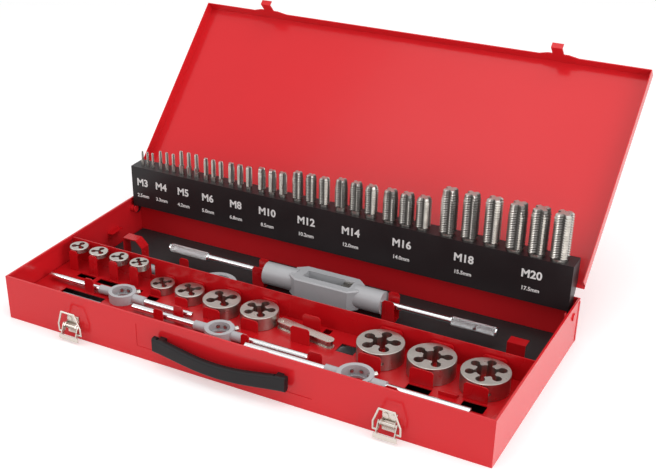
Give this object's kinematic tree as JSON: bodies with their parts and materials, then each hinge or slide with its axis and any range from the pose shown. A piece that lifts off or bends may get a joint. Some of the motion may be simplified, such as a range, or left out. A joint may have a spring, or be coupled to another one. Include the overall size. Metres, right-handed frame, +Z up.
{
  "type": "tap and die set in a hinged steel case",
  "caption": "Flat steel case with a hinged lid, a fold-up rack of hand taps, round dies on a raised tray, die holders, a tap wrench, two draw latches and a carry handle.",
  "frame": {"origin": "middle of the base's flat underside", "axes": "+X along the case to the right as seen from the handle side, +Y towards the hinge, +Z up; the case stands open, lid back and rack upright"},
  "size_m": [0.5194, 0.4163, 0.2428],
  "materials": {
    "case_red": "gloss",
    "tray_red": "gloss",
    "rack_black": "satin",
    "mat_black": "matt",
    "zinc_steel": "satin",
    "tool_steel": "satin",
    "holder_grey": "satin",
    "chrome": "polished",
    "nickel": "satin",
    "grip_black": "matt"
  },
  "bodies": {
    "case": {"base_case": "case_red", "tray_deck": "tray_red", "tray_partition": "tray_red", "tray_skirt": "tray_red", "tray_tabs": "tray_red", "die_posts": "tray_red", "wrench_saddles": "tray_red", "rear_brackets": "tray_red", "floor_mats": "mat_black", "hinge_pin": "zinc_steel", "rack_rivets": "zinc_steel", "front_rivets": "zinc_steel", "holder_screws": "zinc_steel", "gauge_case": "zinc_steel", "gauge_leaves": "zinc_steel", "die_m3": "tool_steel", "die_m4": "tool_steel", "die_m5": "tool_steel", "die_m6": "tool_steel", "die_m8": "tool_steel", "die_m10": "tool_steel", "die_m12": "tool_steel", "die_m14": "tool_steel", "die_m16": "tool_steel", "die_m18": "tool_steel", "die_m20": "tool_steel", "holder_1_ring": "holder_grey", "holder_1_rods": "chrome", "holder_2_ring": "holder_grey", "holder_2_rods": "chrome", "holder_3_ring": "holder_grey", "holder_3_rods": "chrome", "holder_4": "holder_grey", "holder_5": "holder_grey", "holder_6": "holder_grey", "wrench_body": "holder_grey", "wrench_fixed_handle": "chrome", "latch_plates": "nickel", "handle_brackets": "rack_black"},
    "lid": {"lid": "case_red"},
    "rack": {"tap_rack": "rack_black", "rack_shelf": "rack_black", "taps_m3": "tool_steel", "taps_m4": "tool_steel", "taps_m5": "tool_steel", "taps_m6": "tool_steel", "taps_m8": "tool_steel", "taps_m10": "tool_steel", "taps_m12": "tool_steel", "taps_m14": "tool_steel", "taps_m16": "tool_steel", "taps_m18": "tool_steel", "taps_m20": "tool_steel"},
    "handle": {"handle_grip": "grip_black"},
    "lever_left": {"latch_lever_left": "nickel"},
    "bail_left": {"latch_bail_left": "nickel"},
    "lever_right": {"latch_lever_right": "nickel"},
    "bail_right": {"latch_bail_right": "nickel"},
    "jaw": {"wrench_jaw": "tool_steel"},
    "turning_rod": {"wrench_turning_handle": "chrome"}
  },
  "joints": [
    {"name": "lid_hinge", "type": "hinge", "parent": "case", "child": "lid", "pos_m": [0, 0.117, 0.057], "axis": [1, 0, 0], "range_deg": [0, 136]},
    {"name": "rack_fold", "type": "hinge", "parent": "case", "child": "rack", "pos_m": [0, 0.0977, 0.036], "axis": [1, 0, 0], "range_deg": [0, 90]},
    {"name": "handle_swing", "type": "hinge", "parent": "case", "child": "handle", "pos_m": [-0.005, -0.1216, 0.0295], "axis": [-1, 0, 0], "range_deg": [0, 90]},
    {"name": "lever_left_turn", "type": "hinge", "parent": "case", "child": "lever_left", "pos_m": [-0.175, -0.1206, 0.016], "axis": [-1, 0, 0], "range_deg": [-20, 80]},
    {"name": "bail_left_turn", "type": "hinge", "parent": "lever_left", "child": "bail_left", "pos_m": [-0.175, -0.12299, 0.00942], "axis": [-1, 0, 0], "range_deg": [-99.2, 24.8]},
    {"name": "lever_right_turn", "type": "hinge", "parent": "case", "child": "lever_right", "pos_m": [0.165, -0.1206, 0.016], "axis": [-1, 0, 0], "range_deg": [-20, 80]},
    {"name": "bail_right_turn", "type": "hinge", "parent": "lever_right", "child": "bail_right", "pos_m": [0.165, -0.12299, 0.00942], "axis": [-1, 0, 0], "range_deg": [-99.2, 24.8]},
    {"name": "jaw_slide", "type": "slide", "parent": "case", "child": "jaw", "axis": [-1, 0, 0], "range_m": [0, 0.02]},
    {"name": "rod_turn", "type": "hinge", "parent": "jaw", "child": "turning_rod", "pos_m": [0.1, 0.0615, 0.02], "axis": [1, 0, 0], "range_deg": [0, 3601]}
  ],
  "couplings": [
    {"joint": "rack_fold", "follows": "lid_hinge", "ratio": 0.6617},
    {"joint": "bail_left_turn", "follows": "lever_left_turn", "ratio": -1.24},
    {"joint": "bail_right_turn", "follows": "lever_right_turn", "ratio": -1.24},
    {"joint": "rod_turn", "follows": "jaw_slide", "rad_per_m": 3141.6}
  ]
}
